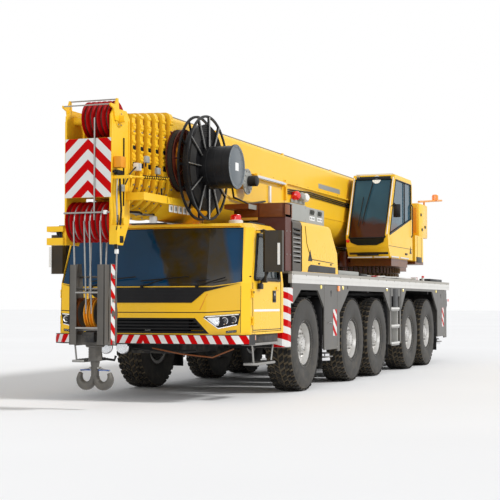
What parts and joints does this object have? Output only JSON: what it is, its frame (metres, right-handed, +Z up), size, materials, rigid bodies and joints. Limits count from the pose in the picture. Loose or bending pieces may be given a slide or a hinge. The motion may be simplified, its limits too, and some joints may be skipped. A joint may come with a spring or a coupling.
{
  "type": "mobile crane",
  "caption": "All-terrain mobile crane in road travel order: carrier with steered axles, outriggers, slewing upper works and a nested telescopic boom with hook block.",
  "frame": {"origin": "on the ground, below the middle of the overall length, on the centre line", "axes": "+X forward, +Y to the machine's left, +Z up"},
  "size_m": [15.4, 3.66, 3.9897],
  "materials": {
    "wheel": "block-tread tyre on a silver painted rim",
    "yellow": "gloss machine yellow",
    "grey_frame": "dark grey chassis paint",
    "deck": "light grey rail, walked plate on top",
    "skirt": "mid grey panel",
    "black": "black moulded",
    "glass": "tinted glazing",
    "cowl": "grey sheet metal",
    "engine": "plain block",
    "red": "red sheaves",
    "steel": "bare rope and rod",
    "hook_grey": "grey cast and plate",
    "interior": "trim and seats",
    "rod": "chromed rod"
  },
  "bodies": {
    "carrier": {"chassis_frame": "grey_frame", "axles_and_struts": "grey_frame", "slew_ring_gear": "grey_frame", "deck": "deck", "side_skirts": "skirt", "truck_cab_shell": "yellow", "engine_covers": "yellow", "truck_cab_windscreen": "glass", "truck_cab_interior": "interior", "front_trim_and_bumper": "black", "exhaust_cowl": "cowl", "engine_block": "engine"},
    "knuckle_1_left": {"knuckle_1_left": "grey_frame"},
    "wheel_1_left": {"wheel_1_left": "wheel"},
    "knuckle_1_right": {"knuckle_1_right": "grey_frame"},
    "wheel_1_right": {"wheel_1_right": "wheel"},
    "knuckle_2_left": {"knuckle_2_left": "grey_frame"},
    "wheel_2_left": {"wheel_2_left": "wheel"},
    "knuckle_2_right": {"knuckle_2_right": "grey_frame"},
    "wheel_2_right": {"wheel_2_right": "wheel"},
    "wheel_3_left": {"wheel_3_left": "wheel"},
    "wheel_3_right": {"wheel_3_right": "wheel"},
    "knuckle_4_left": {"knuckle_4_left": "grey_frame"},
    "wheel_4_left": {"wheel_4_left": "wheel"},
    "knuckle_4_right": {"knuckle_4_right": "grey_frame"},
    "wheel_4_right": {"wheel_4_right": "wheel"},
    "knuckle_5_left": {"knuckle_5_left": "grey_frame"},
    "wheel_5_left": {"wheel_5_left": "wheel"},
    "knuckle_5_right": {"knuckle_5_right": "grey_frame"},
    "wheel_5_right": {"wheel_5_right": "wheel"},
    "outrigger_beam_front_left": {"outrigger_beam_front_left": "yellow"},
    "outrigger_jack_front_left": {"outrigger_jack_front_left": "rod"},
    "outrigger_beam_front_right": {"outrigger_beam_front_right": "yellow"},
    "outrigger_jack_front_right": {"outrigger_jack_front_right": "rod"},
    "outrigger_beam_rear_left": {"outrigger_beam_rear_left": "yellow"},
    "outrigger_jack_rear_left": {"outrigger_jack_rear_left": "rod"},
    "outrigger_beam_rear_right": {"outrigger_beam_rear_right": "yellow"},
    "outrigger_jack_rear_right": {"outrigger_jack_rear_right": "rod"},
    "truck_cab_door_left": {"truck_cab_door_left": "yellow", "truck_cab_door_window_left": "glass"},
    "truck_cab_door_right": {"truck_cab_door_right": "yellow", "truck_cab_door_window_right": "glass"},
    "superstructure": {"superstructure": "yellow"},
    "crane_cab": {"crane_cab_shell": "yellow", "crane_cab_windows": "glass"},
    "luffing_barrel": {"luffing_cylinder_barrel": "yellow"},
    "luffing_rod": {"luffing_cylinder_rod": "rod"},
    "boom_base": {"boom_base_section": "yellow"},
    "boom_1": {"boom_section_1": "yellow"},
    "boom_2": {"boom_section_2": "yellow"},
    "boom_3": {"boom_section_3": "yellow"},
    "boom_4": {"boom_section_4": "yellow"},
    "boom_5": {"boom_section_5": "yellow"},
    "boom_6": {"boom_section_6": "yellow", "boom_head": "yellow", "head_sheaves": "red"},
    "hook_block": {"hook_block": "hook_grey", "hoist_rope_falls": "steel"},
    "hook": {"ramshorn_hook": "hook_grey"},
    "cable_reel": {"cable_reel": "black"}
  },
  "joints": [
    {"name": "steer_1_left", "type": "hinge", "parent": "carrier", "child": "knuckle_1_left", "pos_m": [3.24, 1.0095, 0.73], "axis": [0, 0, 1], "range_deg": [-35, 35]},
    {"name": "roll_1_left", "type": "hinge", "parent": "knuckle_1_left", "child": "wheel_1_left", "pos_m": [3.24, 1.2575, 0.73], "axis": [0, 1, 0], "continuous": true},
    {"name": "steer_1_right", "type": "hinge", "parent": "carrier", "child": "knuckle_1_right", "pos_m": [3.24, -1.0095, 0.73], "axis": [0, 0, 1], "range_deg": [-35, 35]},
    {"name": "roll_1_right", "type": "hinge", "parent": "knuckle_1_right", "child": "wheel_1_right", "pos_m": [3.24, -1.2575, 0.73], "axis": [0, 1, 0], "continuous": true},
    {"name": "steer_2_left", "type": "hinge", "parent": "carrier", "child": "knuckle_2_left", "pos_m": [0.59, 1.0095, 0.73], "axis": [0, 0, 1], "range_deg": [-22, 22]},
    {"name": "roll_2_left", "type": "hinge", "parent": "knuckle_2_left", "child": "wheel_2_left", "pos_m": [0.59, 1.2575, 0.73], "axis": [0, 1, 0], "continuous": true},
    {"name": "steer_2_right", "type": "hinge", "parent": "carrier", "child": "knuckle_2_right", "pos_m": [0.59, -1.0095, 0.73], "axis": [0, 0, 1], "range_deg": [-22, 22]},
    {"name": "roll_2_right", "type": "hinge", "parent": "knuckle_2_right", "child": "wheel_2_right", "pos_m": [0.59, -1.2575, 0.73], "axis": [0, 1, 0], "continuous": true},
    {"name": "roll_3_left", "type": "hinge", "parent": "carrier", "child": "wheel_3_left", "pos_m": [-1.06, 1.2575, 0.73], "axis": [0, 1, 0], "continuous": true},
    {"name": "roll_3_right", "type": "hinge", "parent": "carrier", "child": "wheel_3_right", "pos_m": [-1.06, -1.2575, 0.73], "axis": [0, 1, 0], "continuous": true},
    {"name": "steer_4_left", "type": "hinge", "parent": "carrier", "child": "knuckle_4_left", "pos_m": [-3.66, 1.0095, 0.73], "axis": [0, 0, 1], "range_deg": [-9, 9]},
    {"name": "roll_4_left", "type": "hinge", "parent": "knuckle_4_left", "child": "wheel_4_left", "pos_m": [-3.66, 1.2575, 0.73], "axis": [0, 1, 0], "continuous": true},
    {"name": "steer_4_right", "type": "hinge", "parent": "carrier", "child": "knuckle_4_right", "pos_m": [-3.66, -1.0095, 0.73], "axis": [0, 0, 1], "range_deg": [-9, 9]},
    {"name": "roll_4_right", "type": "hinge", "parent": "knuckle_4_right", "child": "wheel_4_right", "pos_m": [-3.66, -1.2575, 0.73], "axis": [0, 1, 0], "continuous": true},
    {"name": "steer_5_left", "type": "hinge", "parent": "carrier", "child": "knuckle_5_left", "pos_m": [-5.31, 1.0095, 0.73], "axis": [0, 0, 1], "range_deg": [-18, 18]},
    {"name": "roll_5_left", "type": "hinge", "parent": "knuckle_5_left", "child": "wheel_5_left", "pos_m": [-5.31, 1.2575, 0.73], "axis": [0, 1, 0], "continuous": true},
    {"name": "steer_5_right", "type": "hinge", "parent": "carrier", "child": "knuckle_5_right", "pos_m": [-5.31, -1.0095, 0.73], "axis": [0, 0, 1], "range_deg": [-18, 18]},
    {"name": "roll_5_right", "type": "hinge", "parent": "knuckle_5_right", "child": "wheel_5_right", "pos_m": [-5.31, -1.2575, 0.73], "axis": [0, 1, 0], "continuous": true},
    {"name": "extend_front_left", "type": "slide", "parent": "carrier", "child": "outrigger_beam_front_left", "axis": [0, 1, 0], "range_m": [0, 2.2]},
    {"name": "jack_front_left", "type": "slide", "parent": "outrigger_beam_front_left", "child": "outrigger_jack_front_left", "axis": [0, 0, -1], "range_m": [0, 0.7]},
    {"name": "extend_front_right", "type": "slide", "parent": "carrier", "child": "outrigger_beam_front_right", "axis": [0, -1, 0], "range_m": [0, 2.2]},
    {"name": "jack_front_right", "type": "slide", "parent": "outrigger_beam_front_right", "child": "outrigger_jack_front_right", "axis": [0, 0, -1], "range_m": [0, 0.7]},
    {"name": "extend_rear_left", "type": "slide", "parent": "carrier", "child": "outrigger_beam_rear_left", "axis": [0, 1, 0], "range_m": [0, 2.2]},
    {"name": "jack_rear_left", "type": "slide", "parent": "outrigger_beam_rear_left", "child": "outrigger_jack_rear_left", "axis": [0, 0, -1], "range_m": [0, 0.7]},
    {"name": "extend_rear_right", "type": "slide", "parent": "carrier", "child": "outrigger_beam_rear_right", "axis": [0, -1, 0], "range_m": [0, 2.2]},
    {"name": "jack_rear_right", "type": "slide", "parent": "outrigger_beam_rear_right", "child": "outrigger_jack_rear_right", "axis": [0, 0, -1], "range_m": [0, 0.7]},
    {"name": "door_left", "type": "hinge", "parent": "carrier", "child": "truck_cab_door_left", "pos_m": [5.64, 1.5, 1.2], "axis": [0, 0, -1], "range_deg": [0, 65]},
    {"name": "door_right", "type": "hinge", "parent": "carrier", "child": "truck_cab_door_right", "pos_m": [5.64, -1.5, 1.2], "axis": [0, 0, 1], "range_deg": [0, 65]},
    {"name": "slew", "type": "hinge", "parent": "carrier", "child": "superstructure", "pos_m": [-3.96, 0, 1.9], "axis": [0, 0, 1], "continuous": true},
    {"name": "crane_cab_tilt", "type": "hinge", "parent": "superstructure", "child": "crane_cab", "pos_m": [-4.08, 0.99, 2.222], "axis": [0, -1, 0], "range_deg": [0, 20]},
    {"name": "luff", "type": "hinge", "parent": "superstructure", "child": "boom_base", "pos_m": [-6.3, 0, 3.1], "axis": [0, -1, 0], "range_deg": [0, 82]},
    {"name": "barrel_tilt", "type": "hinge", "parent": "superstructure", "child": "luffing_barrel", "pos_m": [-4.1, 0, 2.345], "axis": [0, -1, 0], "range_deg": [0, 94.43]},
    {"name": "rod_slide", "type": "slide", "parent": "luffing_barrel", "child": "luffing_rod", "axis": [1, 0, 0], "range_m": [0, 2.809]},
    {"name": "telescope_1", "type": "slide", "parent": "boom_base", "child": "boom_1", "axis": [1, 0, 0], "range_m": [0, 8]},
    {"name": "telescope_2", "type": "slide", "parent": "boom_1", "child": "boom_2", "axis": [1, 0, 0], "range_m": [0, 8]},
    {"name": "telescope_3", "type": "slide", "parent": "boom_2", "child": "boom_3", "axis": [1, 0, 0], "range_m": [0, 8]},
    {"name": "telescope_4", "type": "slide", "parent": "boom_3", "child": "boom_4", "axis": [1, 0, 0], "range_m": [0, 8]},
    {"name": "telescope_5", "type": "slide", "parent": "boom_4", "child": "boom_5", "axis": [1, 0, 0], "range_m": [0, 8]},
    {"name": "telescope_6", "type": "slide", "parent": "boom_5", "child": "boom_6", "axis": [1, 0, 0], "range_m": [0, 8]},
    {"name": "block_hang", "type": "hinge", "parent": "boom_6", "child": "hook_block", "pos_m": [7.42, 0, 2.41], "axis": [0, 1, 0], "range_deg": [0, 82.01]},
    {"name": "hook_swivel", "type": "hinge", "parent": "hook_block", "child": "hook", "pos_m": [7.42, 0, 0.8], "axis": [0, 0, 1], "continuous": true},
    {"name": "reel_spin", "type": "hinge", "parent": "boom_base", "child": "cable_reel", "pos_m": [5.7, 0.78, 3.255], "axis": [0, 1, 0], "continuous": true}
  ],
  "couplings": [
    {"joint": "steer_1_right", "follows": "steer_1_left", "ratio": 1},
    {"joint": "steer_2_left", "follows": "steer_1_left", "ratio": 0.58},
    {"joint": "steer_2_right", "follows": "steer_1_left", "ratio": 0.58},
    {"joint": "steer_4_left", "follows": "steer_5_left", "ratio": 0.44},
    {"joint": "steer_4_right", "follows": "steer_5_left", "ratio": 0.44},
    {"joint": "steer_5_right", "follows": "steer_5_left", "ratio": 1},
    {"joint": "barrel_tilt", "follows": "luff", "ratio": 1.1515},
    {"joint": "rod_slide", "follows": "luff", "m_per_rad": 1.9619},
    {"joint": "telescope_2", "follows": "telescope_1", "ratio": 1},
    {"joint": "telescope_3", "follows": "telescope_1", "ratio": 1},
    {"joint": "telescope_4", "follows": "telescope_1", "ratio": 1},
    {"joint": "telescope_5", "follows": "telescope_1", "ratio": 1},
    {"joint": "telescope_6", "follows": "telescope_1", "ratio": 1},
    {"joint": "block_hang", "follows": "luff", "ratio": 1}
  ]
}
